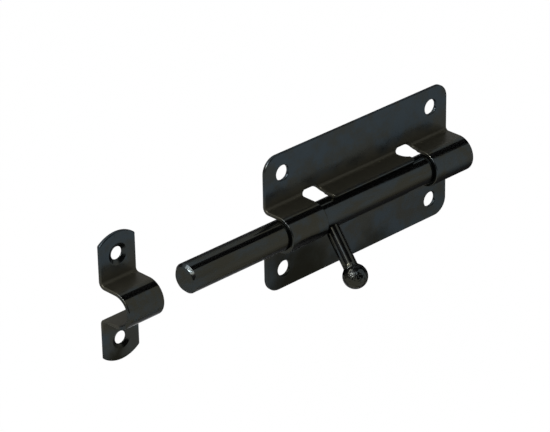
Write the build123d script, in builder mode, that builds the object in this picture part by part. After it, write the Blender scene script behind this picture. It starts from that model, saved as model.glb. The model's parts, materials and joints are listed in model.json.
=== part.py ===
"""Flat door bolt: a pressed mounting plate with two rod guides, a round bolt rod, a ball-ended
knob and a separate keeper strap for the door frame.

Millimetres, as mounted on a door: X runs along the rod, which sticks out toward minus X, the
front faces minus Y, plus Z is up. The back face of the plate lies in the plane Y = 0 and the
origin is the centre of the plate's four screw holes on that face.
"""

import math
import os

from build123d import *

# sheet and plate
sheet_thickness = 1.5
plate_length = 110.0
plate_height = 62.5
plate_corner_radius = 7.0
screw_spacing_x = 89.5
screw_spacing_z = 44.5
screw_hole_diameter = 7.0
edge_rounding = 0.3

# rod
rod_diameter = 13.0
rod_axis_out = 9.5
rod_tip_reach = 53.2
rod_end_inset = 5.0
rod_tip_chamfer = 1.2
rod_end_chamfer = 0.6
rod_clearance = 0.2

# channel pressed in the sheet
bend_radius = 1.4
left_guide_length = 21.0
right_guide_length = 23.3
left_notch_width = 9.4
right_notch_width = 7.1
notch_end_width = 10.3
notch_end_height = 6.6
notch_end_radius = 3.2
right_notch_undercut = 2.25
notch_depth_past_bend = 1.6
lip_edge_angle = 70.0
lip_corner_radius = 2.0
window_bottom_drop = 14.0
window_corner_radius = 1.5

# knob
pin_diameter = 6.4
pin_inset = 5.9
pin_angle_below = 53.0
ball_diameter = 10.9
ball_reach = 28.8
ball_neck_radius = 1.0
cope_clearance = 0.05

# keeper
keeper_width = 18.6
keeper_height = 57.0
keeper_end_rise = 3.3
keeper_corner_radius = 1.0
keeper_screw_spacing = 38.0
keeper_hole_diameter = 5.6
keeper_countersink_diameter = 9.4
keeper_countersink_angle = 125.0
keeper_distance_from_tip = 18.0

# derived sizes
rod_radius = rod_diameter / 2
channel_inner_radius = rod_radius + rod_clearance
channel_outer_radius = channel_inner_radius + sheet_thickness
bend_centre_out = sheet_thickness + bend_radius
bend_centre_up = channel_outer_radius + bend_radius
back_bend_radius = bend_radius + sheet_thickness
window_left_x = -plate_length / 2 + left_guide_length
window_right_x = plate_length / 2 - right_guide_length
window_length = window_right_x - window_left_x
lip_left_x = window_left_x + left_notch_width
lip_right_x = window_right_x - right_notch_width
left_notch_end_x = window_left_x + notch_end_width / 2
right_notch_end_x = lip_right_x - right_notch_undercut + notch_end_width / 2
notch_end_up = notch_depth_past_bend - notch_end_height / 2
rod_tip_x = -plate_length / 2 - rod_tip_reach
rod_end_x = plate_length / 2 - rod_end_inset
pin_x = window_left_x + pin_inset
pin_radius = pin_diameter / 2
keeper_right_x = rod_tip_x - keeper_distance_from_tip
keeper_centre_x = keeper_right_x - keeper_width / 2
diagonal = math.sqrt(0.5)


# section of the sheet across the rod, drawn flat: x is the distance from the door, y is up
back_dip = back_bend_radius * diagonal
half_height = plate_height / 2
with BuildSketch() as sheet_section:
    with BuildLine():
        Line((0, half_height), (0, bend_centre_up))
        ThreePointArc(
            (0, bend_centre_up),
            (-bend_centre_out + back_dip, bend_centre_up - back_dip),
            (-bend_centre_out, channel_inner_radius),
        )
        Line((-bend_centre_out, channel_inner_radius), (-rod_axis_out, channel_inner_radius))
        ThreePointArc(
            (-rod_axis_out, channel_inner_radius),
            (-rod_axis_out - channel_inner_radius, 0),
            (-rod_axis_out, -channel_inner_radius),
        )
        Line((-rod_axis_out, -channel_inner_radius), (-bend_centre_out, -channel_inner_radius))
        ThreePointArc(
            (-bend_centre_out, -channel_inner_radius),
            (-bend_centre_out + back_dip, -bend_centre_up + back_dip),
            (0, -bend_centre_up),
        )
        Line((0, -bend_centre_up), (0, -half_height))
        offset(amount=sheet_thickness, side=Side.RIGHT)
    make_face()


def on_front_skin(edge):
    """Tells whether an edge runs along a punched rim on the front of the sheet."""
    centre = edge.position_at(0.5)
    out = -centre.Y
    up = abs(centre.Z)
    along_x = abs(edge.tangent_at(0.5).X) > 0.999
    near = 0.001
    if abs(out - sheet_thickness) < near and up > bend_centre_up - near:
        return not (along_x and up < bend_centre_up + near)
    if out < bend_centre_out and up < bend_centre_up:
        reach = math.hypot(bend_centre_out - out, bend_centre_up - up)
        return abs(reach - bend_radius) < near
    if abs(up - channel_outer_radius) < near:
        return not along_x
    if out > rod_axis_out:
        return abs(math.hypot(out - rod_axis_out, up) - channel_outer_radius) < near
    return False


# mounting plate: one sheet with its channel, window, notches and screw holes
lip_angle = math.radians(lip_edge_angle)
past_everything = 60.0
window_side = (-rod_axis_out - past_everything * math.cos(lip_angle), past_everything * math.sin(lip_angle))
notch_plane = Plane(
    origin=(0, -bend_centre_out, bend_centre_up),
    x_dir=(1, 0, 0),
    z_dir=(0, -1, 1),
)
lip_edge_line = Axis((0, -rod_axis_out, 0), (0, -math.cos(lip_angle), math.sin(lip_angle)))

with BuildPart() as mounting_plate:
    with BuildSketch(Plane.YZ.offset(-plate_length / 2)):
        add(sheet_section.sketch)
    extrude(amount=plate_length)
    corners = mounting_plate.edges().filter_by(Axis.Y).filter_by(
        lambda edge: abs(edge.center().Z) > plate_height / 2 - 0.01
    )
    fillet(corners, radius=plate_corner_radius)
    with BuildSketch(Plane.XZ):
        with GridLocations(screw_spacing_x, screw_spacing_z, 2, 2):
            Circle(screw_hole_diameter / 2)
    extrude(amount=sheet_thickness, mode=Mode.SUBTRACT)
    # window between the guides: open from the lip's front edge down into the lower flat
    with BuildSketch(Plane.YZ.offset(window_left_x)):
        with BuildLine():
            Polyline(
                (-rod_axis_out, 0),
                window_side,
                (-past_everything, window_side[1]),
                (-past_everything, -window_bottom_drop),
                (sheet_thickness, -window_bottom_drop),
                (sheet_thickness, 0),
                close=True,
            )
        make_face()
    extrude(amount=window_length, mode=Mode.SUBTRACT)
    # notches at both ends of the lip, each with a wider round end in the bend
    with BuildSketch(notch_plane):
        with Locations((left_notch_end_x, notch_end_up), (right_notch_end_x, notch_end_up)):
            RectangleRounded(notch_end_width, notch_end_height, notch_end_radius)
        with Locations((window_left_x, notch_end_up)):
            Rectangle(left_notch_width, past_everything / 2, align=(Align.MIN, Align.MAX))
        with Locations((window_right_x, notch_end_up)):
            Rectangle(right_notch_width, past_everything / 2, align=(Align.MAX, Align.MAX))
    extrude(amount=10, both=True, mode=Mode.SUBTRACT)
    lip_corners = mounting_plate.edges().filter_by(lip_edge_line).filter_by(
        lambda edge: min(abs(edge.center().X - lip_left_x), abs(edge.center().X - lip_right_x)) < 0.01
    )
    fillet(lip_corners, radius=lip_corner_radius)
    window_corners = mounting_plate.edges().filter_by(Axis.Y).filter_by(
        lambda edge: abs(edge.center().Z + window_bottom_drop) < 0.01
    )
    fillet(window_corners, radius=window_corner_radius)
    # the punched edges are slightly rounded on the front
    front_rims = mounting_plate.edges().filter_by(on_front_skin)
    chamfer(front_rims, length=edge_rounding)

# bolt rod: a plain round bar with a broken edge at both ends
with BuildPart() as bolt_rod:
    with BuildSketch(Plane.YZ.offset(rod_tip_x)):
        with Locations((-rod_axis_out, 0)):
            Circle(rod_radius)
    extrude(amount=rod_end_x - rod_tip_x)
    tip_edge = bolt_rod.faces().sort_by(Axis.X)[0].edges()
    chamfer(tip_edge, length=rod_tip_chamfer)
    far_edge = bolt_rod.faces().sort_by(Axis.X)[-1].edges()
    chamfer(far_edge, length=rod_end_chamfer)

# knob: a turned pin with a ball end, its foot coped to the rod
pin_angle = math.radians(pin_angle_below)
pin_direction = (0, -math.cos(pin_angle), -math.sin(pin_angle))
pin_origin = (pin_x, -rod_axis_out, 0)
pin_line = Axis(pin_origin, pin_direction)
knob_plane = Plane(
    origin=pin_origin,
    x_dir=(1, 0, 0),
    z_dir=(0, math.sin(pin_angle), -math.cos(pin_angle)),
)
ball_radius = ball_diameter / 2
pin_start = rod_radius * math.cos(math.asin(pin_radius / rod_radius)) - 1
with BuildPart() as knob:
    with BuildSketch(knob_plane):
        with Locations((0, (pin_start + ball_reach) / 2)):
            Rectangle(pin_diameter, ball_reach - pin_start)
        with Locations((0, ball_reach)):
            Circle(ball_radius)
        split(bisect_by=Plane.YZ, keep=Keep.TOP)
    revolve(axis=pin_line)
    neck = knob.edges().filter_by(GeomType.CIRCLE).filter_by(
        lambda edge: abs(edge.radius - pin_radius) < 0.001
    )
    fillet(neck.sort_by(pin_line)[-1], radius=ball_neck_radius)
    with BuildSketch(Plane.YZ.offset(pin_x - pin_diameter)):
        with Locations((-rod_axis_out, 0)):
            Circle(rod_radius + cope_clearance)
    extrude(amount=2 * pin_diameter, mode=Mode.SUBTRACT)

# keeper: a strap with the same channel and two flanges with curved ends
keeper_end_z = keeper_height / 2
keeper_side_z = keeper_end_z - keeper_end_rise
with BuildPart() as keeper:
    with BuildSketch(Plane.YZ.offset(keeper_centre_x - keeper_width / 2)):
        add(sheet_section.sketch)
    extrude(amount=keeper_width)
    with BuildSketch(Plane.XZ):
        with BuildLine():
            left_x = keeper_centre_x - keeper_width / 2
            right_x = keeper_centre_x + keeper_width / 2
            ThreePointArc((left_x, keeper_side_z), (keeper_centre_x, keeper_end_z), (right_x, keeper_side_z))
            Line((right_x, keeper_side_z), (right_x, -keeper_side_z))
            ThreePointArc((right_x, -keeper_side_z), (keeper_centre_x, -keeper_end_z), (left_x, -keeper_side_z))
            Line((left_x, -keeper_side_z), (left_x, keeper_side_z))
        make_face()
    extrude(amount=past_everything, mode=Mode.INTERSECT)
    keeper_corners = keeper.edges().filter_by(Axis.Y).filter_by(
        lambda edge: abs(abs(edge.center().Z) - keeper_side_z) < 0.01
    )
    fillet(keeper_corners, radius=keeper_corner_radius)
    keeper_rims = keeper.edges().filter_by(on_front_skin)
    chamfer(keeper_rims, length=edge_rounding)
    with Locations(Plane(origin=(keeper_centre_x, -sheet_thickness, 0), x_dir=(1, 0, 0), z_dir=(0, -1, 0))):
        with GridLocations(0, keeper_screw_spacing, 1, 2):
            CounterSinkHole(
                radius=keeper_hole_diameter / 2,
                counter_sink_radius=keeper_countersink_diameter / 2,
                depth=sheet_thickness,
                counter_sink_angle=keeper_countersink_angle,
            )

# one file for each piece
mounting_plate.part.label = "mounting_plate"
bolt_rod.part.label = "bolt_rod"
knob.part.label = "knob"
keeper.part.label = "keeper"

os.makedirs("parts", exist_ok=True)
export_step(mounting_plate.part, "parts/mounting_plate.step")
export_step(bolt_rod.part, "parts/bolt_rod.step")
export_step(knob.part, "parts/knob.step")
export_step(keeper.part, "parts/keeper.step")
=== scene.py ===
"""Looks of the flat door bolt: a pressed plate, its round rod, the ball-ended knob and the keeper strap.

The plate and the keeper start as flat blanks with their holes and rims, and a node tree presses the
channel into them. The rod and the knob are turned from a profile. The studio has a white room and one
soft lamp, and around the bolt stand bright and dark cards that only its reflections see. All lengths
are in metres.
"""
import json
import math

import bmesh
import bpy
import numpy as np
from bpy.props import FloatProperty, FloatVectorProperty, IntProperty, PointerProperty
from mathutils import Matrix, Vector
from mathutils.geometry import delaunay_2d_cdt


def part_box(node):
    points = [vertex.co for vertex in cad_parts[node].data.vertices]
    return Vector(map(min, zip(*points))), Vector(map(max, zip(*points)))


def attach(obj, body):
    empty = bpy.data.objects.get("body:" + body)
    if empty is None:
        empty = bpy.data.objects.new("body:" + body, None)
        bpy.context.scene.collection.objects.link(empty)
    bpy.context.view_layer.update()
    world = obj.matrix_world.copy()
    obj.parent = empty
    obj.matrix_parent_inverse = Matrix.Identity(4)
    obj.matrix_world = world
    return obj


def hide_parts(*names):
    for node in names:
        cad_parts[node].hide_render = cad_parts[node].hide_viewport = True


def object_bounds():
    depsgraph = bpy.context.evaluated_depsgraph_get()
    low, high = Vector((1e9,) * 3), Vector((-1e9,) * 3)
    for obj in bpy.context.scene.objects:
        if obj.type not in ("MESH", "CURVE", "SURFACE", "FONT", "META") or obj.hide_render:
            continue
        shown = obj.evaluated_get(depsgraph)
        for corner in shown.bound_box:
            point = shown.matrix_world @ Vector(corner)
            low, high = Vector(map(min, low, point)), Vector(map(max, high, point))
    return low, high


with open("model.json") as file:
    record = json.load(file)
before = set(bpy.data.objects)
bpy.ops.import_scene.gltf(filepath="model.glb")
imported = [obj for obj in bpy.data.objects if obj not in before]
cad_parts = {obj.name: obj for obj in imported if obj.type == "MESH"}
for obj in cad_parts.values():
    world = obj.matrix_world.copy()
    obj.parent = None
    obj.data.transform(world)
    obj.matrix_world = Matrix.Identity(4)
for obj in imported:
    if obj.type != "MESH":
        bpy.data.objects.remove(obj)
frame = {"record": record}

bl_info = {
    "name": "Flat Door Bolt",
    "version": (1, 0, 0),
    "blender": (4, 5, 0),
    "location": "3D View > Sidebar > Door Bolt",
    "description": "Builds a flat door bolt with its keeper, and a studio to show it in",
    "category": "Object",
}

MM = 0.001


def mount_dims(name):
    """The stated sizes of one of the part's mounts."""
    return next(m["dims"] for m in frame["record"]["mounts"] if m["name"] == name)


# sizes that the frame already holds
CAD_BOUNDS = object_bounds()
PLATE_LOW, PLATE_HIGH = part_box("mounting_plate")
ROD_LOW, ROD_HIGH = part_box("bolt_rod")
KNOB_LOW, KNOB_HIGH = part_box("knob")
KEEPER_LOW, KEEPER_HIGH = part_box("keeper")
PLATE_SCREWS = mount_dims("plate_screws")
KEEPER_SCREWS = mount_dims("keeper_screws")
ROD_RADIUS = (ROD_HIGH.z - ROD_LOW.z) / 2
ROD_AXIS_OUT = -(ROD_LOW.y + ROD_HIGH.y) / 2
CHANNEL_RADIUS = -PLATE_LOW.y - ROD_AXIS_OUT
BALL_RADIUS = (KNOB_HIGH.x - KNOB_LOW.x) / 2
BALL_CENTRE = Vector((KNOB_LOW.x, KNOB_LOW.y, KNOB_LOW.z)) + Vector((BALL_RADIUS,) * 3)
PIN_FOOT = Vector((BALL_CENTRE.x, -ROD_AXIS_OUT, 0))


# what a user would change


def mm_setting(name, description, millimetres):
    """A length setting, given in millimetres."""
    return FloatProperty(name=name, description=description, default=millimetres * MM, unit="LENGTH")


def angle_setting(name, description, degrees):
    """An angle setting, given in degrees."""
    return FloatProperty(name=name, description=description, default=math.radians(degrees), subtype="ANGLE")


def share_setting(name, description, default):
    """A setting between 0 and 1."""
    return FloatProperty(name=name, description=description, default=default, subtype="FACTOR")


def colour_setting(name, description, default):
    """A colour setting."""
    return FloatVectorProperty(name=name, description=description, default=default, subtype="COLOR")


def number_setting(name, description, default):
    """A setting that is a plain number."""
    return FloatProperty(name=name, description=description, default=default)


class SheetSizes(bpy.types.PropertyGroup):
    """Sizes of the pressed sheet that the plate and the keeper are made of."""

    thickness: mm_setting("Thickness", "Sheet thickness", 1.5)
    bend_radius: mm_setting("Bend radius", "Front radius of the bend beside the channel", 1.4)
    front_rounding: mm_setting("Front rounding", "Rounding of cut edges on the front", 0.45)
    back_rounding: mm_setting("Back rounding", "Rounding of cut edges on the back", 0.12)
    plate_corner: mm_setting("Plate corner", "Radius of the plate's corners", 7)
    left_guide: mm_setting("Left guide", "Length of the rod guide near the tip", 21)
    right_guide: mm_setting("Right guide", "Length of the other rod guide", 23.3)
    lip_length: mm_setting("Lip length", "Length of the lip between the notches", 49.2)
    notch_end_width: mm_setting("Notch end width", "Width of the notch's round end", 10.3)
    notch_end_height: mm_setting("Notch end height", "Height of the notch's round end", 6.6)
    notch_end_radius: mm_setting("Notch end radius", "Corner radius of the notch's end", 3.2)
    right_undercut: mm_setting("Right undercut", "How far the right notch's end runs under the lip", 2.25)
    notch_rise: mm_setting("Notch rise", "How far the notch runs past the bend", 1.6)
    lip_angle: angle_setting("Lip angle", "Where the lip ends on the crown", 70)
    lip_corner: mm_setting("Lip corner", "Radius of the lip's corners", 2)
    window_drop: mm_setting("Window drop", "How far the window reaches below the rod's axis", 14)
    window_corner: mm_setting("Window corner", "Radius of the window's lower corners", 1.5)
    keeper_rise: mm_setting("Keeper end rise", "Height of the keeper's curved ends", 3.3)
    keeper_corner: mm_setting("Keeper corner", "Radius of the keeper's corners", 1)
    countersink: mm_setting("Countersink", "Diameter of the keeper's countersinks", 9.4)
    countersink_angle: angle_setting("Countersink angle", "Full angle of the countersinks", 125)


class BarSizes(bpy.types.PropertyGroup):
    """Sizes of the rod and the knob that the frame doesn't hold."""

    tip_chamfer: mm_setting("Tip chamfer", "Chamfer on the rod's outer end", 1.2)
    end_chamfer: mm_setting("End chamfer", "Chamfer on the rod's inner end", 0.6)
    softening: mm_setting("Softening", "Rounding where turned faces meet", 0.12)
    pin_diameter: mm_setting("Pin diameter", "Knob pin, just clear of the window's ends", 6.38)
    ball_neck: mm_setting("Ball neck", "Fillet between the pin and the ball", 1)
    foot_gap: mm_setting("Foot gap", "Gap between the pin's foot and the rod", 0.05)
    turned_sides: IntProperty(name="Sides", description="Sides of a turned piece", default=96, min=12)


class CoatLook(bpy.types.PropertyGroup):
    """The thin glossy black coat."""

    cool: colour_setting("Cool black", "Reflected colour of most of the coat", (0.0265, 0.035, 0.0405))
    warm: colour_setting("Warm black", "Reflected colour of its brownish clouds", (0.0275, 0.0265, 0.0195))
    bend_brown: colour_setting("Bend brown", "The dull brown beside the bends", (0.0285, 0.0265, 0.0185))
    # Painted shade: the dark reflected colour laid on patches low on the plate and at the keeper's lower end
    painted_shade: colour_setting("Painted_shade", "Reflected colour of the dull brown stains", (0.007, 0.0068, 0.0035))
    edge: share_setting("Grazing gloss", "How bright the coat is at a grazing angle", 0.3)
    flat_gloss: share_setting("Flange roughness", "Roughness of the flat flanges", 0.17)
    round_gloss: share_setting("Crown roughness", "Roughness of round faces", 0.05)
    cloudiness: share_setting("Cloudiness", "Roughness that the smears add", 0.07)
    bend_dullness: share_setting("Bend dullness", "Roughness that the brown beside the bends adds", 0.3)
    haze: share_setting("Haze", "Strength of the soft haze over the gloss", 1.0)
    haze_index: number_setting("Haze index", "Index of refraction of the hazy film", 1.13)
    haze_roughness: share_setting("Haze roughness", "Roughness of the hazy film", 0.4)


class StudioSettings(bpy.types.PropertyGroup):
    """Camera, room, lamp and cards."""

    azimuth: angle_setting("Azimuth", "Camera's turn round the bolt", -43.833)
    elevation: angle_setting("Elevation", "Camera's height angle", 26.97)
    roll: angle_setting("Roll", "Camera's roll", -1.017)
    distance: mm_setting("Distance", "Camera's distance", 1210.3)
    lens: number_setting("Lens", "Focal length in millimetres", 186.0)
    centre_right: mm_setting("Origin right", "How far the origin lies right of the picture's centre", 34.5)
    centre_up: mm_setting("Origin up", "How far the origin lies above the picture's centre", 13)
    floor_drop: mm_setting("Floor drop", "Floor below the bolt", 120)
    room_light: number_setting("Room light", "Strength of the white room", 1.0)
    room_tint: colour_setting("Room tint", "Colour of the room's light", (0.97, 0.99, 1.0))
    lamp_power: number_setting("Lamp", "Power of the soft lamp in watts", 4.0)
    left_card: number_setting("Left card", "Brightness of the broad card at the left", 7.0)
    left_core: number_setting("Left core", "Brightness of that card's middle", 150.0)
    tall_card: number_setting("Tall card", "Brightness of the tall card", 4.0)


def settings():
    """The bolt's settings in this scene."""
    return bpy.context.scene.door_bolt


class DoorBoltSettings(bpy.types.PropertyGroup):
    """Everything that a user would change."""

    sheet: PointerProperty(type=SheetSizes)
    bars: PointerProperty(type=BarSizes)
    coat: PointerProperty(type=CoatLook)
    studio: PointerProperty(type=StudioSettings)


# building node trees


def fill_inputs(tree, node, inputs):
    """Links or sets inputs of a node, by name or number."""
    for key, value in inputs.items():
        if isinstance(value, bpy.types.NodeSocket):
            tree.links.new(value, node.inputs[key])
        else:
            node.inputs[key].default_value = value


def add_node(tree, kind, inputs=None, **values):
    """A new node with its attributes set and its inputs linked or set."""
    node = tree.nodes.new(kind)
    for key, value in values.items():
        setattr(node, key, value)
    fill_inputs(tree, node, inputs or {})
    return node


def calc(tree, operation, *terms, clamp=False):
    """A Math node on sockets or numbers, and its result."""
    terms = dict(enumerate(terms))
    return add_node(tree, "ShaderNodeMath", terms, operation=operation, use_clamp=clamp).outputs[0]


def new_group(name, sizes):
    """An empty geometry node group with a geometry input, float inputs and a material input."""
    tree = bpy.data.node_groups.new(name, "GeometryNodeTree")
    face = tree.interface
    face.new_socket("Geometry", in_out="INPUT", socket_type="NodeSocketGeometry")
    for size in sizes:
        face.new_socket(size, in_out="INPUT", socket_type="NodeSocketFloat")
    face.new_socket("Coat", in_out="INPUT", socket_type="NodeSocketMaterial")
    face.new_socket("Geometry", in_out="OUTPUT", socket_type="NodeSocketGeometry")
    return tree, add_node(tree, "NodeGroupInput")


def finish_group(tree, given, geometry):
    """Ends a group in Realize Instances and Set Material."""
    whole = add_node(tree, "GeometryNodeRealizeInstances", {"Geometry": geometry}).outputs[0]
    painted = {"Geometry": whole, "Material": given.outputs["Coat"]}
    painted = add_node(tree, "GeometryNodeSetMaterial", painted).outputs[0]
    add_node(tree, "NodeGroupOutput", {0: painted})
    return tree


def linked(name, data):
    """A new object of some data, in the scene."""
    made = bpy.data.objects.new(name, data)
    bpy.context.scene.collection.objects.link(made)
    return made


def plain_mesh(name, source, tree, inputs):
    """Runs a node group on a mesh object and leaves one plain mesh object."""
    modifier = source.modifiers.new(tree.name, "NODES")
    modifier.node_group = tree
    for item in tree.interface.items_tree:
        if item.in_out == "INPUT" and item.name in inputs:
            modifier[item.identifier] = inputs[item.name]
    source.update_tag()
    made = source.evaluated_get(bpy.context.evaluated_depsgraph_get())
    mesh = bpy.data.meshes.new_from_object(made)
    bpy.data.objects.remove(source)
    mesh.name = name
    return linked(name, mesh)


def face_outwards(mesh, merge=0.0):
    """Points every face out of the solid, and shades it smooth."""
    shape = bmesh.new()
    shape.from_mesh(mesh)
    if merge:
        bmesh.ops.remove_doubles(shape, verts=shape.verts, dist=merge)
    bmesh.ops.recalc_face_normals(shape, faces=shape.faces)
    shape.to_mesh(mesh)
    shape.free()
    mesh.shade_smooth()


# the flat blank


EDGE_STEP = 0.4 * MM  # longest side of an outline
COLUMN_STEP = 1.6 * MM  # spacing of the skin's inner points along the rod
# their spacing up the sheet: on the crown, on the straight side, in the bend and on the flange
CROWN_STEP, RUN_STEP, BEND_STEP, FLAT_STEP = 0.39 * MM, 1.3 * MM, 0.24 * MM, 1.6 * MM
SHARP_HOLD = 0.08 * MM  # width of the faces that keep the skin flat beside a rounded rim
SUNK_SOFTNESS = 0.1 * MM  # rounding of a countersink's edges
NOTCH_SAMPLES, NOTCH_REACH = 800, 6 * MM  # heights tried for a notch, and how far past the bend
NOTCH_RUN_OUT = 0.4 * MM  # straight end of a notch's outline on the sheet's side
MERGE_DISTANCE = 0.0005 * MM  # points of a turned piece that are closer become one


def arc(centre, radius, start, end, step=8.0):
    """Points of an arc from one angle to another, in degrees."""
    count = max(2, math.ceil(abs(end - start) / step))
    angles = np.radians(np.linspace(start, end, count + 1))
    return [(centre[0] + radius * math.cos(a), centre[1] + radius * math.sin(a)) for a in angles]


def spread_points(outline, step):
    """The closed outline with no two neighbours further apart than step."""
    found = []
    for here, there in zip(outline, outline[1:] + outline[:1]):
        here, there = np.array(here), np.array(there)
        count = max(1, math.ceil(np.hypot(*(there - here)[:2]) / step))
        found += [here + (there - here) * i / count for i in range(count)]
    return np.array(found)


def shifted(loop, inset):
    """The loop moved to its left, which is into the sheet, by inset."""
    ahead = np.roll(loop, -1, axis=0) - loop
    ahead /= np.linalg.norm(ahead, axis=1)[:, None]
    left = np.stack([-ahead[:, 1], ahead[:, 0]], axis=1)
    before = np.roll(left, 1, axis=0)
    middle = (left + before) / (1 + np.sum(left * before, axis=1))[:, None]
    return loop + middle * inset


def inside(points, loops):
    """Which points lie in the sheet, by counting the outlines to their right."""
    crossings = np.zeros(len(points), int)
    for loop in loops:
        for a, b in zip(loop, np.roll(loop, -1, axis=0)):
            rises = (a[1] > points[:, 1]) != (b[1] > points[:, 1])
            if rises.any():
                reach = a[0] + (points[:, 1] - a[1]) * (b[0] - a[0]) / (b[1] - a[1])
                crossings += rises & (points[:, 0] < reach)
    return crossings % 2 == 1


def fill_skin(loops, rows, column_step, keep_off):
    """Triangles between the loops, with inner points on the given rows. Loop points come first."""
    edge_points = np.concatenate(loops)
    lows, highs = edge_points.min(0), edge_points.max(0)
    columns = np.arange(lows[0] + column_step / 2, highs[0], column_step)
    grid = np.array([(x, s) for s in rows for x in columns])
    grid = grid[inside(grid, loops)]
    gaps = np.array([np.hypot(*(edge_points - p).T).min() for p in grid])
    points = np.concatenate([edge_points, grid[gaps > keep_off]])
    edges, first = [], 0
    for loop in loops:
        edges += [(first + i, first + (i + 1) % len(loop)) for i in range(len(loop))]
        first += len(loop)
    vertices, _, faces, origins, _, _ = delaunay_2d_cdt([Vector(p) for p in points], edges, [], 0, 1e-9)
    if any(len(o) != 1 for o in origins):
        raise RuntimeError("two points of a blank's skin fell together")
    own = [o[0] for o in origins]
    faces = np.array([[own[i] for i in f] for f in faces])
    return points, faces[inside(points[faces].mean(1), loops)]


def make_blank(name, outlines, thickness, rims, rows):
    """A flat blank as a closed mesh: X along the rod, Z up the sheet, Y from the front skin to the back.

    An outline is a loop of (x, front height, back height), and its rim is a list of (inset, depth)."""
    vertices, faces, front, back = [], [], [], []
    for outline, rim in zip(outlines, rims):
        x, low, high = outline.T
        rings = []
        for inset, depth in rim:
            flat = shifted(np.stack([x, low + (high - low) * depth / thickness], axis=1), inset)
            start = sum(len(v) for v in vertices)
            vertices.append(np.stack([flat[:, 0], np.full(len(flat), depth - thickness), flat[:, 1]], axis=1))
            rings.append((start, flat))
        for (a, flat), (b, _) in zip(rings, rings[1:]):
            count = len(flat)
            faces += [(a + i, a + (i + 1) % count, b + (i + 1) % count, b + i) for i in range(count)]
        front.append(rings[0])
        back.append(rings[-1])
    for rings, depth in ((front, 0.0), (back, thickness)):
        points, triangles = fill_skin([flat for _, flat in rings], rows, COLUMN_STEP, 0.5 * COLUMN_STEP)
        places = np.concatenate([np.arange(start, start + len(flat)) for start, flat in rings])
        inner = points[len(places):]
        start = sum(len(v) for v in vertices)
        vertices.append(np.stack([inner[:, 0], np.full(len(inner), depth - thickness), inner[:, 1]], axis=1))
        places = np.concatenate([places, np.arange(start, start + len(inner))])
        faces += [tuple(int(i) for i in t) for t in places[triangles]]
    mesh = bpy.data.meshes.new(name)
    mesh.from_pydata(np.concatenate(vertices).tolist(), [], faces)
    face_outwards(mesh)
    return linked(name, mesh)


# the pressed channel


def channel_marks(sheet):
    """How far up the blank the crown ends, the bend starts and the bend ends, on its middle layer."""
    crown = (CHANNEL_RADIUS - sheet.thickness / 2) * math.pi / 2
    bend_start = crown + ROD_AXIS_OUT - sheet.thickness - sheet.bend_radius
    bend_end = bend_start + (sheet.bend_radius + sheet.thickness / 2) * math.pi / 2
    return crown, bend_start, bend_end


def stretch(sheet):
    """How much further up a point of the flange lies on the blank than on the pressed sheet."""
    return channel_marks(sheet)[2] - CHANNEL_RADIUS - sheet.bend_radius


def pressed(sheet, height, depth):
    """Where a point of the blank above the middle ends up: (out of the door, up)."""
    crown, bend_start, bend_end = channel_marks(sheet)
    crown_turn = min(height, crown) / (CHANNEL_RADIUS - sheet.thickness / 2)
    run = min(max(height - crown, 0), bend_start - crown)
    bend_run = min(max(height - bend_start, 0), bend_end - bend_start)
    bend_turn = bend_run / (sheet.bend_radius + sheet.thickness / 2)
    out = ROD_AXIS_OUT + (CHANNEL_RADIUS - depth) * math.cos(crown_turn) - run
    out -= (sheet.bend_radius + depth) * math.sin(bend_turn)
    up = (CHANNEL_RADIUS - depth) * math.sin(crown_turn)
    up += (sheet.bend_radius + depth) * (1 - math.cos(bend_turn))
    return out, up + max(height - bend_end, 0)


def press_tree():
    """The node group that presses the channel into a flat blank."""
    names = ("Rod Axis Out", "Channel Radius", "Bend Radius", "Thickness")
    tree, given = new_group("Press channel", names)

    def maths(operation):
        return lambda *terms: calc(tree, operation, *terms)

    add, subtract, multiply, divide = map(maths, ("ADD", "SUBTRACT", "MULTIPLY", "DIVIDE"))
    lesser, greater, sine, cosine = map(maths, ("MINIMUM", "MAXIMUM", "SINE", "COSINE"))
    out_of_door, radius, bend, thickness = (given.outputs[n] for n in names)
    position = add_node(tree, "GeometryNodeInputPosition").outputs[0]
    place = add_node(tree, "ShaderNodeSeparateXYZ", {0: position}).outputs
    half = multiply(thickness, 0.5)
    depth = add(place["Y"], thickness)
    height = calc(tree, "ABSOLUTE", place["Z"])
    side = calc(tree, "SIGN", place["Z"])
    crown_middle = subtract(radius, half)
    crown = multiply(crown_middle, math.pi / 2)
    run_length = subtract(subtract(out_of_door, thickness), bend)
    bend_start = add(crown, run_length)
    bend_middle = add(bend, half)
    crown_turn = divide(lesser(height, crown), crown_middle)
    run = lesser(greater(subtract(height, crown), 0.0), run_length)
    past_run = greater(subtract(height, bend_start), 0.0)
    bend_turn = lesser(divide(past_run, bend_middle), math.pi / 2)
    past_bend = subtract(past_run, multiply(bend_turn, bend_middle))
    outer = subtract(radius, depth)
    inner = add(bend, depth)
    crown_out = multiply(outer, cosine(crown_turn))
    bend_out = multiply(inner, sine(bend_turn))
    out = subtract(add(out_of_door, crown_out), add(run, bend_out))
    crown_up = multiply(outer, sine(crown_turn))
    bend_up = multiply(inner, subtract(1.0, cosine(bend_turn)))
    up = add(add(crown_up, bend_up), past_bend)
    moved = {"X": place["X"], "Y": multiply(out, -1.0), "Z": multiply(up, side)}
    moved = add_node(tree, "ShaderNodeCombineXYZ", moved).outputs[0]
    moved = {"Geometry": given.outputs["Geometry"], "Position": moved}
    return finish_group(tree, given, add_node(tree, "GeometryNodeSetPosition", moved).outputs[0])


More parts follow.
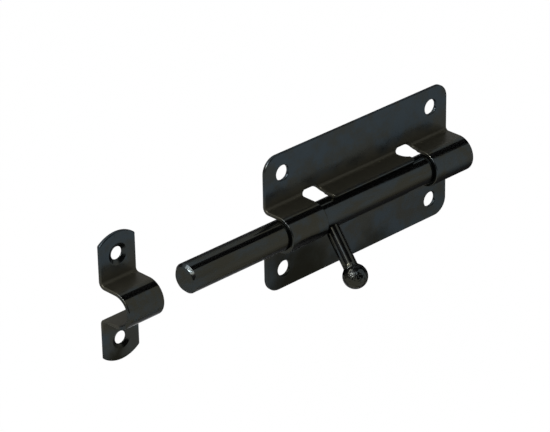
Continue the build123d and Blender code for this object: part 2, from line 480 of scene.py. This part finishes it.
def rim_profile(sheet, steps=5):
    """Section of a cut edge: (inset into the sheet, depth from the front)."""
    front, back, full = sheet.front_rounding, sheet.back_rounding, sheet.thickness
    quarter = [math.pi / 2 * i / steps for i in range(steps + 1)]
    rim = [(front + SHARP_HOLD, 0.0)]
    rim += [(front * (1 - math.sin(a)), front * (1 - math.cos(a))) for a in quarter]
    rim += [(0.0, front + SHARP_HOLD), (0.0, full - back - SHARP_HOLD)]
    rim += [(back * (1 - math.cos(a)), full - back * (1 - math.sin(a))) for a in quarter]
    return rim + [(back + SHARP_HOLD, full)]


def sunk_profile(sheet, hole_radius):
    """Section of a countersunk hole's wall, with a soft edge at the front."""
    wide = sheet.countersink / 2 - hole_radius
    deep = wide / math.tan(sheet.countersink_angle / 2)
    soft = SUNK_SOFTNESS
    full, back = sheet.thickness, sheet.back_rounding
    slope = deep / wide
    rim = [(wide + 3 * soft, 0.0), (wide + soft, 0.0), (wide, 0.3 * soft * slope)]
    rim += [(wide - soft, soft * slope), (wide - 3 * soft, 3 * soft * slope)]
    rim += [(2 * soft, deep - 2 * soft * slope)]
    rim += [(0.6 * soft, deep - 0.6 * soft * slope), (0.0, deep + 0.4 * soft), (0.0, deep + 2 * soft)]
    rim += [(0.0, full - 2 * back), (0.0, full - back)]
    return rim + [(0.3 * back, full - 0.3 * back), (2 * back, full)]


def sheet_rows(sheet, end):
    """Heights of the blank's inner points: close together where the sheet curves."""
    crown, bend_start, bend_end = channel_marks(sheet)
    half = list(np.arange(0.0, crown, CROWN_STEP)) + list(np.arange(crown, bend_start, RUN_STEP))
    half += list(np.arange(bend_start, bend_end, BEND_STEP)) + list(np.arange(bend_end, end, FLAT_STEP))
    return sorted({-h for h in half} | set(half))


def level(points):
    """The same heights on the front and the back of the sheet."""
    return [(x, s, s) for x, s in points]


def press(name, node, outlines, rims, coat, end):
    """Makes a blank, presses its channel, and puts it in the place of a CAD node."""
    sheet = settings().sheet
    blank = make_blank(name + "_blank", outlines, sheet.thickness, rims, sheet_rows(sheet, end))
    sizes = {
        "Rod Axis Out": ROD_AXIS_OUT,
        "Channel Radius": CHANNEL_RADIUS,
        "Bend Radius": sheet.bend_radius,
        "Thickness": sheet.thickness,
        "Coat": coat,
    }
    piece = plain_mesh(name, blank, press_tree(), sizes)
    piece.data.shade_smooth()
    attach(piece, "housing")
    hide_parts(node)
    return piece


def circle(centre, radius):
    """A hole's outline, run clockwise so that the sheet is on its left."""
    return level(arc(centre, radius, 360, 0, 6)[:-1])


def notch_heights(sheet):
    """Turns a height in the notch's slanting plane into heights up the blank's front and back."""
    marks = []
    for depth in (0.0, sheet.thickness):
        heights = np.linspace(0, channel_marks(sheet)[2] + NOTCH_REACH, NOTCH_SAMPLES)
        places = [pressed(sheet, h, depth) for h in heights]
        bend_out, bend_up = sheet.thickness + sheet.bend_radius, CHANNEL_RADIUS + sheet.bend_radius
        slants = [((bend_out - out) + (up - bend_up)) / math.sqrt(2) for out, up in places]
        marks.append((slants, heights))
    return lambda slant: tuple(float(np.interp(slant, slants, heights)) for slants, heights in marks)


def notch_side(sheet, guide_x, lip_x, end_low, end_high):
    """The left half of the window's outline, from its lower corner over the notch to the lip's corner.

    The notch runs between guide_x and lip_x, and its wide end from end_low to end_high."""
    radius, top = sheet.notch_end_radius, sheet.notch_rise
    low_centre = top - sheet.notch_end_height + radius
    guide_cut = math.degrees(math.acos(min(1.0, (end_low + radius - guide_x) / radius)))
    lip_cut = math.degrees(math.acos(min(1.0, (lip_x - end_high + radius) / radius)))
    slanted = []
    if guide_cut > 1:
        slanted = arc((end_low + radius, low_centre), radius, 180 + guide_cut, 180)
        slanted.insert(0, (guide_x, slanted[0][1] - NOTCH_RUN_OUT))
    slanted += arc((end_low + radius, top - radius), radius, 180, 90)
    slanted += arc((end_high - radius, top - radius), radius, 90, 0)
    slanted += arc((end_high - radius, low_centre), radius, 0, -lip_cut)
    slanted.append((lip_x, slanted[-1][1] - NOTCH_RUN_OUT))
    heights = notch_heights(sheet)
    floor, corner = -stretch(sheet) - sheet.window_drop, sheet.window_corner
    lip_height = (CHANNEL_RADIUS - sheet.thickness / 2) * sheet.lip_angle
    side = level(arc((guide_x + corner, floor + corner), corner, 270, 180))
    side += level([(guide_x, 0.0)]) + [(x, *heights(s)) for x, s in slanted]
    corner = sheet.lip_corner
    return side + level(arc((lip_x + corner, lip_height + corner), corner, 180, 270))


def window_outline(sheet):
    """The window with its two notches and the lip between them, as one loop."""
    left, right = PLATE_LOW.x + sheet.left_guide, PLATE_HIGH.x - sheet.right_guide
    lip, wide = sheet.lip_length / 2, sheet.notch_end_width
    right_end = lip - sheet.right_undercut
    loop = notch_side(sheet, left, -lip, left, left + wide)
    mirrored = notch_side(sheet, -right, -lip, -right_end - wide, -right_end)
    return loop + [(-x, a, b) for x, a, b in reversed(mirrored)]


def rounded_box(left, right, low, high, radius):
    """A counterclockwise rectangle with round corners."""
    points = []
    for x, s, start in ((right, high, 0), (left, high, 90), (left, low, 180), (right, low, 270)):
        centre = (x - math.copysign(radius, x - (left + right) / 2), s - math.copysign(radius, s))
        points += arc(centre, radius, start, start + 90, 6)
    return level(points)


def strap_outline(sheet, end):
    """The keeper's outline: straight sides and curved ends."""
    left, right = KEEPER_LOW.x, KEEPER_HIGH.x
    middle, half = (left + right) / 2, (right - left) / 2
    radius = (half**2 + sheet.keeper_rise**2) / (2 * sheet.keeper_rise)
    corner = sheet.keeper_corner
    top_centre = end - radius
    inner = half - corner
    corner_height = top_centre + math.sqrt((radius - corner) ** 2 - inner**2)
    meet = math.degrees(math.atan2(corner_height - top_centre, inner))
    upper = arc((middle + inner, corner_height), corner, 0, meet, 10)
    upper += arc((middle, top_centre), radius, meet, 180 - meet, 3)[1:-1]
    upper += arc((middle - inner, corner_height), corner, 180 - meet, 180, 10)
    lower = [(2 * middle - x, -s) for x, s in upper]
    return level(upper + lower)


# materials

# noises: scale in features per metre, detail and roughness
CLOUDS, RAGS, SMEARS = (75.0, 8.0, 0.72), (90.0, 3.0), (210.0, 5.0, 0.65)
WAVES, LUMPS, SKIN = (120.0, 1.0), (700.0, 1.0), (1500.0, 3.0)
CLOUD_ENDS, RAG_ENDS, SMEAR_ENDS = (0.4, 0.6), (0.2, 0.8), (0.35, 0.65)  # part of the noise in use
WAVE_DEPTH, LUMP_DEPTH, SKIN_DEPTH = 0.02 * MM, 1.0 * MM, 0.004 * MM
BUMP_STRENGTH = 0.5
PIN_LUMPS, LUMP_REACH = 0.08, 1.3  # share of the lumps left on the pin, and from how many ball radii on
# the last of these is a painted reflection: how much cooler and brighter the top of the upper flange is
# turned
CLOUD_WARMTH, CROWN_WARMTH, PAINTED_TOP_REFLECTION = 0.75, 0.3, 0.12
CROWN_WARM_ENDS = -8 * MM, -3 * MM  # along Y
PAINTED_TOP_REFLECTION_ENDS = 12 * MM, 24 * MM  # up the plate, where a painted reflection turns the upper flange's top cooler and brighter
BEND_BROWN_ENDS = 10 * MM, 17 * MM  # from the middle, up and down
CROWN_BROWN_ENDS = -12.5 * MM, -10 * MM  # along Y
# the second is how ragged the edge of a patch of painted shade is
BEND_RAGGEDNESS, PAINTED_SHADE_RAGGEDNESS = 2.5 * MM, 6 * MM
BROWN_MATT, BROWN_GLOSS = 0.5, 0.1  # how matt the brown beside the bends is, and the gloss it keeps


def ramped(tree, value, from_low, from_high, low, high):
    """The value mapped smoothly from one range to another."""
    ends = {"Value": value, "From Min": from_low, "From Max": from_high, "To Min": low, "To Max": high}
    node = add_node(tree, "ShaderNodeMapRange", ends, clamp=True, interpolation_type="SMOOTHSTEP")
    return node.outputs["Result"]


def mixed(tree, factor, first, second):
    """A colour between two colours or sockets."""
    first, second = (c if isinstance(c, bpy.types.NodeSocket) else (*c, 1.0) for c in (first, second))
    ends = {"Factor": factor, "A": first, "B": second}
    return add_node(tree, "ShaderNodeMix", ends, data_type="RGBA").outputs["Result"]


def distance_from(tree, place, point):
    """The distance of a place on the object from a fixed point."""
    ends = {0: place, 1: point}
    return add_node(tree, "ShaderNodeVectorMath", ends, operation="DISTANCE").outputs["Value"]


def noise(tree, place, scale, detail, roughness=0.5):
    """Noise between 0 and 1, with a scale in features per metre."""
    kind = {"Vector": place, "Scale": scale, "Detail": detail, "Roughness": roughness}
    return add_node(tree, "ShaderNodeTexNoise", kind).outputs["Fac"]


def bump(tree, height, depth, normal=None):
    """A bumpy normal from a height, on top of another normal."""
    relief = {"Strength": BUMP_STRENGTH, "Distance": depth, "Height": height}
    if normal:
        relief["Normal"] = normal
    return add_node(tree, "ShaderNodeBump", relief).outputs["Normal"]


def bend_zone(tree, parts, ragged):
    """1 on the channel's sides and in the bends, falling to 0 up the flanges, with a ragged edge."""
    height = calc(tree, "MULTIPLY_ADD", ragged, BEND_RAGGEDNESS, calc(tree, "ABSOLUTE", parts["Z"]))
    near_bend = ramped(tree, height, *BEND_BROWN_ENDS, 1.0, 0.0)
    off_crown = ramped(tree, parts["Y"], *CROWN_BROWN_ENDS, 0.0, 1.0)
    return calc(tree, "MULTIPLY", near_bend, off_crown)


def coat_material(name, stretch, seed, warmth, painted_shade_patches=(), pressed_sheet=False, lumps=False):
    """A thin glossy black coat: cloudy in colour and gloss, with a fine skin and faint waves.

    A patch of painted shade is (centre, full radius, end radius); in it the reflected colour is darkened
    to the painted shade colour. On a pressed sheet the coat is dull and brown beside the bends, and duller on
    the flanges, and a painted reflection turns the top of the upper flange cooler and brighter. With lumps it
    is lumpy round the ball."""
    look = settings().coat
    coat = bpy.data.materials.new(name)
    coat.use_nodes = True
    tree = coat.node_tree
    here = add_node(tree, "ShaderNodeTexCoord").outputs["Object"]
    along = {"Vector": here, "Scale": stretch, "Location": (seed, seed * 0.7, -seed)}
    place = add_node(tree, "ShaderNodeMapping", along).outputs[0]

    brown = ramped(tree, noise(tree, place, *CLOUDS), *CLOUD_ENDS, warmth, warmth + CLOUD_WARMTH)
    ragged = ramped(tree, noise(tree, place, *RAGS), *RAG_ENDS, -1.0, 1.0)
    smears = ramped(tree, noise(tree, place, *SMEARS), *SMEAR_ENDS, 0.0, look.cloudiness)
    if pressed_sheet:
        flat_out = settings().sheet.thickness
        parts = add_node(tree, "ShaderNodeSeparateXYZ", {0: here}).outputs
        beside = bend_zone(tree, parts, ragged)
        metallic = calc(tree, "MULTIPLY_ADD", beside, -BROWN_MATT, 1.0)
        on_crown = ramped(tree, parts["Y"], *CROWN_WARM_ENDS, CROWN_WARMTH, 0.0)
        # painted reflection: the top of the upper flange is turned cooler and brighter in colour
        painted_top_reflection = ramped(tree, parts["Z"], *PAINTED_TOP_REFLECTION_ENDS, 0.0, -PAINTED_TOP_REFLECTION)
        brown = calc(tree, "ADD", brown, calc(tree, "ADD", on_crown, painted_top_reflection), clamp=True)
        base = mixed(tree, beside, mixed(tree, brown, look.cool, look.warm), look.bend_brown)
        zone = ramped(tree, parts["Y"], -2.5 * flat_out, -flat_out, look.round_gloss, look.flat_gloss)
        gloss = calc(tree, "MULTIPLY_ADD", beside, look.bend_dullness, calc(tree, "ADD", smears, zone))
    else:
        metallic = 1.0
        base = mixed(tree, brown, look.cool, look.warm)
        gloss = calc(tree, "ADD", smears, look.round_gloss)
    # Painted shade: each patch darkens the reflected colour toward the painted shade colour, with a ragged
    # edge
    for centre, full, end in painted_shade_patches:
        wavy = calc(tree, "MULTIPLY_ADD", ragged, PAINTED_SHADE_RAGGEDNESS, distance_from(tree, here, centre))
        base = mixed(tree, ramped(tree, wavy, full, end, 1.0, 0.0), base, look.painted_shade)

    if lumps:
        off_ball = distance_from(tree, here, BALL_CENTRE)
        lumpy = ramped(tree, off_ball, BALL_RADIUS, LUMP_REACH * BALL_RADIUS, 1.0, PIN_LUMPS)
        waves = bump(tree, calc(tree, "MULTIPLY", noise(tree, place, *LUMPS), lumpy), LUMP_DEPTH)
    else:
        waves = bump(tree, noise(tree, place, *WAVES), WAVE_DEPTH)
    fill_inputs(tree, tree.nodes["Principled BSDF"], {
        "Base Color": base,
        "Metallic": metallic,
        "Roughness": gloss,
        "Normal": bump(tree, noise(tree, place, *SKIN), SKIN_DEPTH, waves),
        "Specular IOR Level": BROWN_GLOSS,
        "Specular Tint": (look.edge, look.edge, look.edge, 1.0),
        "Coat Weight": look.haze,
        "Coat IOR": look.haze_index,
        "Coat Roughness": look.haze_roughness,
    })
    return coat


def sheet_coat():
    """The coat on the plate and the keeper, made once."""
    made = bpy.data.materials.get("black_sheet_coat")
    if made:
        return made
    front = -settings().sheet.thickness
    # Patches of painted shade: the reflection is darkened low on the plate's left, along its lower edge in
    # the middle, and at the keeper's lower end
    low_left = (-0.034, front, -0.03), 0.006, 0.03
    low_middle = (0.004, front, -0.04), 0.004, 0.021
    under_keeper_hole = (-0.137, front, -0.031), 0.002, 0.011
    painted_shade_patches = (low_left, low_middle, under_keeper_hole)
    return coat_material("black_sheet_coat", (1.0, 1.0, 1.0), 3.1, 0.0, painted_shade_patches, pressed_sheet=True)


def rod_coat():
    """The coat on the rod, drawn out along it."""
    return coat_material("black_rod_coat", (0.35, 1.0, 1.0), 7.4, 0.25)


def knob_coat():
    """The coat on the knob, with a lumpy ball."""
    return coat_material("black_knob_coat", (1.0, 1.0, 1.0), 1.7, 0.25, lumps=True)


# turned pieces


def softened(profile, radius, steps=4, most=0.45):
    """The profile of (along, radius) points, its corners rounded over at most a share of each side."""
    found = [profile[0]]
    for before, here, after in zip(profile, profile[1:], profile[2:]):
        a, b, c = (np.array(p) for p in (before, here, after))
        back, on = (a - b) / np.linalg.norm(a - b), (c - b) / np.linalg.norm(c - b)
        turn = math.pi - math.acos(float(np.clip(back @ on, -1, 1)))
        reach = min(radius * math.tan(turn / 2), most * min(np.linalg.norm(a - b), np.linalg.norm(c - b)))
        start, end = b + back * reach, b + on * reach
        for i in range(steps + 1):
            t = i / steps
            found.append(tuple((1 - t) ** 2 * start + 2 * t * (1 - t) * b + t**2 * end))
    return found + [profile[-1]]


def turn_tree():
    """The node group that turns a profile round a straight line."""
    tree, given = new_group("Turn profile", ("Sides",))
    line = add_node(tree, "GeometryNodeMeshToCurve", {"Mesh": given.outputs["Geometry"]})
    size = add_node(tree, "GeometryNodeInputNamedAttribute", {"Name": "turned_radius"}, data_type="FLOAT")
    ring = {"Radius": 1.0, "Resolution": given.outputs["Sides"]}
    ring = add_node(tree, "GeometryNodeCurvePrimitiveCircle", ring)
    body = add_node(tree, "GeometryNodeCurveToMesh", {
        "Curve": line.outputs["Curve"],
        "Profile Curve": ring.outputs["Curve"],
        "Scale": size.outputs[0],
        "Fill Caps": True,
    })
    return finish_group(tree, given, body.outputs["Mesh"])


def turn(name, start, direction, profile, coat):
    """A turned piece on a line from start. The profile is a list of (along, radius)."""
    direction = Vector(direction).normalized()
    mesh = bpy.data.meshes.new(name + "_profile")
    points = [start + direction * along for along, _ in profile]
    mesh.from_pydata(points, [(i, i + 1) for i in range(len(points) - 1)], [])
    sizes = mesh.attributes.new("turned_radius", "FLOAT", "POINT")
    sizes.data.foreach_set("value", [radius for _, radius in profile])
    line = linked(name + "_profile", mesh)
    piece = plain_mesh(name, line, turn_tree(), {"Sides": settings().bars.turned_sides, "Coat": coat})
    face_outwards(piece.data, merge=MERGE_DISTANCE)
    return piece


def cope(piece, foot, direction, gap):
    """Cuts the pin's foot to the rod's round surface."""
    direction = Vector(direction).normalized()
    reach = ROD_RADIUS + gap
    for vertex in piece.data.vertices:
        offset = vertex.co - foot
        along = offset.dot(direction)
        if along > reach:
            continue
        beside = offset - direction * along
        across = Vector((0, beside.y, beside.z)).length
        vertex.co += direction * (math.sqrt(reach**2 - across**2) - along)


# operators


class DOORBOLT_OT_mounting_plate(bpy.types.Operator):
    """Makes the mounting plate with its guides, lip, window, notches and screw holes"""

    bl_idname = "door_bolt.mounting_plate"
    bl_label = "Mounting Plate"

    def execute(self, context):
        sheet = settings().sheet
        end = PLATE_HIGH.z + stretch(sheet)
        outer = rounded_box(PLATE_LOW.x, PLATE_HIGH.x, -end, end, sheet.plate_corner)
        loops = [outer, window_outline(sheet)]
        across = PLATE_SCREWS["spacing_x_mm"] * MM / 2
        up = PLATE_SCREWS["spacing_y_mm"] * MM / 2 + stretch(sheet)
        for x in (-across, across):
            for s in (-up, up):
                loops.append(circle((x, s), PLATE_SCREWS["hole_r_mm"] * MM))
        loops = [spread_points(loop, EDGE_STEP) for loop in loops]
        press("plate_sheet", "mounting_plate", loops, [rim_profile(sheet)] * len(loops), sheet_coat(), end)
        return {"FINISHED"}


class DOORBOLT_OT_keeper(bpy.types.Operator):
    """Makes the keeper strap with its countersunk holes"""

    bl_idname = "door_bolt.keeper"
    bl_label = "Keeper"

    def execute(self, context):
        sheet = settings().sheet
        end = KEEPER_HIGH.z + stretch(sheet)
        middle = (KEEPER_LOW.x + KEEPER_HIGH.x) / 2
        hole_radius = KEEPER_SCREWS["hole_r_mm"] * MM
        up = KEEPER_SCREWS["spacing_y_mm"] * MM / 2 + stretch(sheet)
        loops = [strap_outline(sheet, end)]
        loops += [circle((middle, s), hole_radius) for s in (-up, up)]
        loops = [spread_points(loop, EDGE_STEP) for loop in loops]
        rims = [rim_profile(sheet)] + [sunk_profile(sheet, hole_radius)] * 2
        press("keeper_strap", "keeper", loops, rims, sheet_coat(), end)
        return {"FINISHED"}


class DOORBOLT_OT_rod(bpy.types.Operator):
    """Makes the sliding round rod"""

    bl_idname = "door_bolt.rod"
    bl_label = "Rod"

    def execute(self, context):
        bars = settings().bars
        length = ROD_HIGH.x - ROD_LOW.x
        soft = bars.softening
        face = 0.004 * MM  # how far the flat ends stand out, so that they shade flat
        profile = [
            (0.0, ROD_RADIUS - bars.tip_chamfer - 4 * soft),
            (face, ROD_RADIUS - bars.tip_chamfer),
            (bars.tip_chamfer, ROD_RADIUS),
            (length - bars.end_chamfer, ROD_RADIUS),
            (length - face, ROD_RADIUS - bars.end_chamfer),
            (length, ROD_RADIUS - bars.end_chamfer - 4 * soft),
        ]
        start = Vector((ROD_LOW.x, -ROD_AXIS_OUT, 0))
        rod = turn("round_rod", start, (1, 0, 0), softened(profile, soft), rod_coat())
        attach(rod, "rod")
        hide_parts("bolt_rod")
        return {"FINISHED"}


class DOORBOLT_OT_knob(bpy.types.Operator):
    """Makes the ball-ended knob"""

    bl_idname = "door_bolt.knob"
    bl_label = "Knob"

    def execute(self, context):
        bars = settings().bars
        pin_radius, neck = bars.pin_diameter / 2, bars.ball_neck
        direction = BALL_CENTRE - PIN_FOOT
        reach = direction.length
        start = ROD_RADIUS + bars.foot_gap
        neck_back = math.sqrt((BALL_RADIUS + neck) ** 2 - (pin_radius + neck) ** 2)
        neck_turn = math.degrees(math.acos((pin_radius + neck) / (BALL_RADIUS + neck)))
        fillet = arc((reach - neck_back, pin_radius + neck), neck, 270, 360 - neck_turn)
        ball_start = math.degrees(math.atan2(pin_radius + neck, -neck_back))
        ball_end = 1.5  # degrees from the ball's pole, where a flat cap closes it
        ball = arc((reach, 0.0), BALL_RADIUS, ball_start, ball_end, 3)
        profile = [(start, pin_radius)] + fillet + ball[1:]
        knob = turn("ball_knob", PIN_FOOT, direction, profile, knob_coat())
        cope(knob, PIN_FOOT, direction, bars.foot_gap)
        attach(knob, "knob")
        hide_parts("knob")
        return {"FINISHED"}


# the studio

BLACK, DARK, GREY = 0.005, 0.02, 0.15  # levels of the dark cards
FLOOR_HALF = 6.0
FLOOR_WHITE = 0.9  # how much light the floor throws back
FLOOR_GLOW = 0.97  # share of the room's white in what the camera and reflections see of it
LAMP_PLACE, LAMP_SIZE = (-60, 50, 1.2), (0.6, 0.4)  # azimuth, elevation and distance; width and height


def seen_by_eye(tree):
    """1 for what the camera, a reflection or a clear surface sees, and 0 for light on the object."""
    path = add_node(tree, "ShaderNodeLightPath")
    seen = calc(tree, "MAXIMUM", path.outputs["Is Camera Ray"], path.outputs["Is Glossy Ray"])
    return calc(tree, "MAXIMUM", seen, path.outputs["Is Transmission Ray"])


def white_or_tint(tree, tint):
    """White for the camera, and the room's tint for everything else."""
    path = add_node(tree, "ShaderNodeLightPath")
    return mixed(tree, path.outputs["Is Camera Ray"], tint, (1.0, 1.0, 1.0))


def flat_corners(low, high):
    """The corners of the level or upright rectangle that spans two opposite corners."""
    flat_axis = next(i for i in range(3) if low[i] == high[i])
    first, second = (i for i in range(3) if i != flat_axis)
    corners = []
    for a, b in ((low, low), (high, low), (high, high), (low, high)):
        corner = list(low)
        corner[first], corner[second] = a[first], b[second]
        corners.append(corner)
    return corners


def rectangle(name, corners):
    """A flat piece of the stage with a new material, and that material's empty node tree."""
    mesh = bpy.data.meshes.new(name)
    mesh.from_pydata(corners, [], [(0, 1, 2, 3)])
    paint = bpy.data.materials.new(name)
    paint.use_nodes = True
    paint.node_tree.nodes.clear()
    mesh.materials.append(paint)
    return linked(name, mesh), paint.node_tree


def make_floor(studio):
    """A pale floor well below the bolt, which keeps a soft shadow."""
    floor_z = CAD_BOUNDS[0].z - studio.floor_drop
    low, high = (-FLOOR_HALF, -FLOOR_HALF, floor_z), (FLOOR_HALF, FLOOR_HALF, floor_z)
    floor, tree = rectangle("floor", flat_corners(low, high))
    matt = add_node(tree, "ShaderNodeBsdfDiffuse", {"Color": (FLOOR_WHITE, FLOOR_WHITE, FLOOR_WHITE, 1.0)})
    glow = add_node(tree, "ShaderNodeEmission", {"Color": white_or_tint(tree, studio.room_tint)})
    seen = calc(tree, "MULTIPLY", seen_by_eye(tree), FLOOR_GLOW)
    mix = add_node(tree, "ShaderNodeMixShader", {"Fac": seen, 1: matt.outputs[0], 2: glow.outputs[0]})
    add_node(tree, "ShaderNodeOutputMaterial", {"Surface": mix.outputs[0]})


def make_room(studio):
    """A white room. What isn't the camera's view of it is tinted, and room_light dims only its light."""
    room = bpy.data.worlds.new("white_room")
    bpy.context.scene.world = room
    room.use_nodes = True
    tree = room.node_tree
    extra = calc(tree, "MULTIPLY", seen_by_eye(tree), 1.0 - studio.room_light)
    fill_inputs(tree, tree.nodes["Background"], {
        "Color": white_or_tint(tree, studio.room_tint),
        "Strength": calc(tree, "ADD", extra, studio.room_light),
    })


def make_card(name, corners, level, fade=None):
    """A card that only reflections see.

    With fade, which is (first Y, second Y, other level), its level changes between the two."""
    card, tree = rectangle(name, corners)
    if fade:
        here = add_node(tree, "ShaderNodeTexCoord").outputs["Object"]
        parts = add_node(tree, "ShaderNodeSeparateXYZ", {0: here})
        level = ramped(tree, parts.outputs["Y"], *fade[:2], level, fade[2])
    glow = add_node(tree, "ShaderNodeEmission", {"Strength": level})
    add_node(tree, "ShaderNodeOutputMaterial", {"Surface": glow.outputs[0]})
    card.visible_camera = False
    card.visible_diffuse = False
    card.visible_shadow = False
    card.visible_transmission = False


def axes_at(azimuth, elevation):
    """Right, up and back of something that looks at the bolt.

    The azimuth runs from the front toward the right. Both angles are in radians."""
    back = Vector((
        math.sin(azimuth) * math.cos(elevation),
        -math.cos(azimuth) * math.cos(elevation),
        math.sin(elevation),
    ))
    right = Vector((math.cos(azimuth), math.sin(azimuth), 0))
    return right, back.cross(right), back


def make_facing_card(name, origin, azimuth, elevation, distance, width, height, level):
    """A card that faces the origin from a distance, at angles in degrees."""
    right, up, back = axes_at(math.radians(azimuth), math.radians(elevation))
    centre = origin + back * distance
    corners = [
        centre + right * width * x + up * height * z
        for x, z in ((-0.5, -0.5), (0.5, -0.5), (0.5, 0.5), (-0.5, 0.5))
    ]
    make_card(name, corners, level)


def aim(holder, right, up, back, centre):
    """Puts a lamp or a camera in its place, looking along the opposite of back."""
    turned = Matrix((right, up, back)).transposed().to_4x4()
    turned.translation = centre
    holder.matrix_world = turned


def make_lamp(studio):
    """A soft lamp at the upper left, which gives the floor its shadow."""
    lamp = bpy.data.lights.new("soft_lamp", "AREA")
    lamp.shape = "RECTANGLE"
    lamp.size, lamp.size_y = LAMP_SIZE
    lamp.energy = studio.lamp_power
    holder = linked("soft_lamp", lamp)
    azimuth, elevation, distance = LAMP_PLACE
    right, up, back = axes_at(math.radians(azimuth), math.radians(elevation))
    aim(holder, right, up, back, back * distance)
    holder.visible_glossy = False


def make_camera(studio):
    """The camera at the photograph's view."""
    right, up, back = axes_at(studio.azimuth, studio.elevation)
    rolled_right = right * math.cos(studio.roll) + up * math.sin(studio.roll)
    rolled_up = up * math.cos(studio.roll) - right * math.sin(studio.roll)
    data = bpy.data.cameras.new("photo_camera")
    data.sensor_width = 36
    data.lens = studio.lens
    data.clip_start, data.clip_end = 0.05, 50
    camera = linked("photo_camera", data)
    centre = back * studio.distance - rolled_right * studio.centre_right - rolled_up * studio.centre_up
    aim(camera, rolled_right, rolled_up, back, centre)
    bpy.context.scene.camera = camera


class DOORBOLT_OT_stage(bpy.types.Operator):
    """Sets up the floor, the white room, the cards, the lamp and the camera"""

    bl_idname = "door_bolt.stage"
    bl_label = "Studio"

    def execute(self, context):
        studio = settings().studio
        bpy.context.scene.view_settings.view_transform = "Standard"
        make_floor(studio)
        make_room(studio)
        ground = CAD_BOUNDS[0].z - studio.floor_drop + 2 * MM
        for name, low, high, level, fade in (
            ("dark_gap_overhead", (-1.5, -0.267, 0.6), (2.5, 0.1164, 0.6), BLACK, None),
            ("shade_under_bolt", (0.045, -0.2, ground), (0.7, 0.7, ground), 0.84, (-0.17, 0.04, 0.03)),
            ("grey_behind", (-4, 1.5, ground), (4, 1.5, 0.7), GREY, None),
            ("dark_in_front", (-0.72, -1, -0.1), (0.466, -1, 1.3), DARK, None),
            ("dark_at_right", (1, -0.53, ground), (1, 0.1, 1.0), DARK, None),
        ):
            make_card(name, flat_corners(low, high), level, fade)
        tip = Vector((ROD_LOW.x, -ROD_AXIS_OUT, 0))
        # azimuth and elevation, then distance, width, height and level
        for name, origin, *place in (
            ("dark_low_left", tip, -77, 8, 1.0, 1.02, 0.56, DARK),
            ("left_card", tip, -94, 50, 1.0, 1.2, 0.8, studio.left_card),
            ("left_core", tip, -89, 44, 0.95, 0.3, 0.2, studio.left_core),
            ("tall_card", BALL_CENTRE, -53, 46, 0.9, 0.1, 0.9, studio.tall_card),
        ):
            make_facing_card(name, origin, *place)
        make_lamp(studio)
        make_camera(studio)
        return {"FINISHED"}


class DOORBOLT_PT_sidebar(bpy.types.Panel):
    """Lists the pieces of the bolt and their sizes"""

    bl_idname = "DOORBOLT_PT_sidebar"
    bl_label = "Door Bolt"
    bl_space_type = "VIEW_3D"
    bl_region_type = "UI"
    bl_category = "Door Bolt"

    def draw(self, context):
        for operator in OPERATORS:
            self.layout.operator(operator.bl_idname)
        bolt = settings()
        for group in (bolt.sheet, bolt.bars, bolt.coat, bolt.studio):
            box = self.layout.box()
            for name in group.__annotations__:
                box.prop(group, name)


OPERATORS = (
    DOORBOLT_OT_mounting_plate,
    DOORBOLT_OT_keeper,
    DOORBOLT_OT_rod,
    DOORBOLT_OT_knob,
    DOORBOLT_OT_stage,
)
GROUPS = (SheetSizes, BarSizes, CoatLook, StudioSettings, DoorBoltSettings)


def register():
    """Adds the settings, the operators and the panel."""
    for group in GROUPS:
        bpy.utils.register_class(group)
    bpy.types.Scene.door_bolt = PointerProperty(type=DoorBoltSettings)
    for operator in OPERATORS:
        bpy.utils.register_class(operator)
    bpy.utils.register_class(DOORBOLT_PT_sidebar)


def unregister():
    """Takes out what register adds."""
    bpy.utils.unregister_class(DOORBOLT_PT_sidebar)
    for operator in reversed(OPERATORS):
        bpy.utils.unregister_class(operator)
    del bpy.types.Scene.door_bolt
    for group in reversed(GROUPS):
        bpy.utils.unregister_class(group)


def main():
    """Builds every piece and the stage."""
    register()
    bpy.ops.door_bolt.mounting_plate()
    bpy.ops.door_bolt.keeper()
    bpy.ops.door_bolt.rod()
    bpy.ops.door_bolt.knob()
    bpy.ops.door_bolt.stage()


if __name__ == "__main__":
    main()
